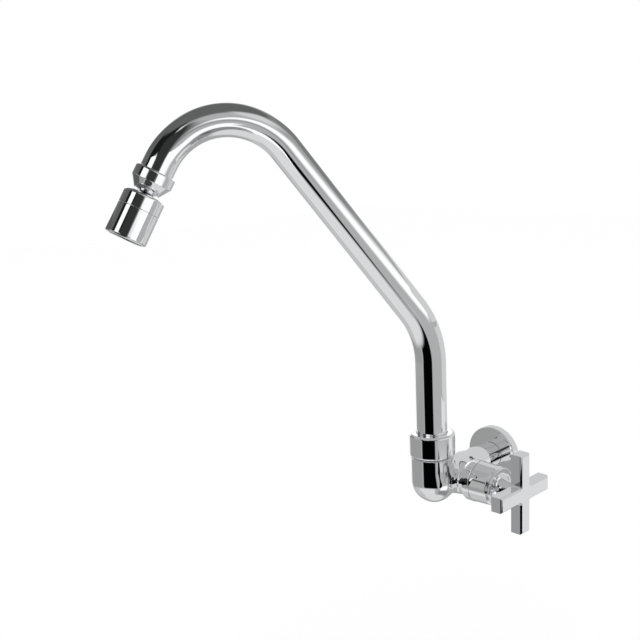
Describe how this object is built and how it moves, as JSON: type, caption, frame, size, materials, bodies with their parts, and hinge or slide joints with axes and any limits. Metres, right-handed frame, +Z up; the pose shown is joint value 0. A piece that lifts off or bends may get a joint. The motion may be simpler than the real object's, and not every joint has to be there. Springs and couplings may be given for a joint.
{
  "type": "wall-mounted kitchen faucet",
  "caption": "Wall-mounted single kitchen faucet with a round wall flange, cross handle, swinging swan-neck spout and a tilting spray head.",
  "frame": {"origin": "middle of the wall flange's back face, on the wall and on the inlet's axis", "axes": "+Y along the inlet into the wall, +Z up, +X towards the cross handle"},
  "size_m": [0.1691, 0.2866, 0.3058],
  "materials": {
    "chromed_brass": "polished bright chrome plate on brass",
    "chromed_zinc": "polished bright chrome plate on cast zinc",
    "raw_brass": "machined, unplated brass",
    "stainless_steel": "plain stainless steel",
    "black_rubber": "moulded black sealing rubber",
    "foam_rubber": "soft dark grey foam rubber",
    "slip_plastic": "off-white acetal",
    "grey_plastic": "moulded grey plastic",
    "ceramic": "lapped white alumina ceramic, for which gloss plastic stands in"
  },
  "bodies": {
    "tap_body": {"inlet_nipple": "raw_brass", "wall_flange": "chromed_brass", "wall_gasket": "foam_rubber", "valve_body": "chromed_brass", "seat_seal": "black_rubber", "fixed_disc": "ceramic", "headwork_body": "raw_brass", "headwork_washer": "slip_plastic", "bonnet": "chromed_brass", "lower_slip_ring": "slip_plastic", "upper_slip_ring": "slip_plastic", "collar_nut": "chromed_brass"},
    "handle": {"moving_disc": "ceramic", "spindle": "raw_brass", "spindle_rings": "black_rubber", "spindle_clip": "stainless_steel", "cross_handle": "chromed_zinc", "handle_grub_screw": "stainless_steel"},
    "spout": {"spout_spigot": "raw_brass", "spigot_rings": "black_rubber", "spout_tube": "chromed_brass", "outlet_ferrule": "raw_brass", "outlet_nut": "chromed_brass", "ball_seal": "black_rubber"},
    "ball_ring": {"ball_seat_ring": "slip_plastic"},
    "ball": {"swivel_ball": "chromed_brass"},
    "spray_head": {"head_cap": "chromed_brass", "head_shell": "chromed_brass", "head_gasket": "black_rubber", "insert_cup": "grey_plastic", "perforated_plate": "grey_plastic", "wire_screens": "stainless_steel", "outlet_grid": "grey_plastic"}
  },
  "joints": [
    {"name": "spout_swing", "type": "hinge", "parent": "tap_body", "child": "spout", "pos_m": [0, -0.0786, 0.03], "axis": [0, 0, 1], "range_deg": [-81.8, 138.2]},
    {"name": "handle_turn", "type": "hinge", "parent": "tap_body", "child": "handle", "pos_m": [0.04, -0.0526, -0.0028], "axis": [1, 0, 0], "range_deg": [0, 90]},
    {"name": "head_lean_direction", "type": "hinge", "parent": "spout", "child": "ball_ring", "pos_m": [-0.08816, -0.24301, 0.22483], "axis": [-0.2388, -0.4453, -0.863], "continuous": true},
    {"name": "head_tip", "type": "hinge", "parent": "ball_ring", "child": "ball", "pos_m": [-0.08816, -0.24301, 0.22483], "axis": [-0.3184, -0.8036, 0.5028], "range_deg": [-21, 9]},
    {"name": "head_spin", "type": "hinge", "parent": "ball", "child": "spray_head", "pos_m": [-0.08816, -0.24301, 0.22483], "axis": [-0.1411, -0.4843, -0.8634], "continuous": true}
  ]
}
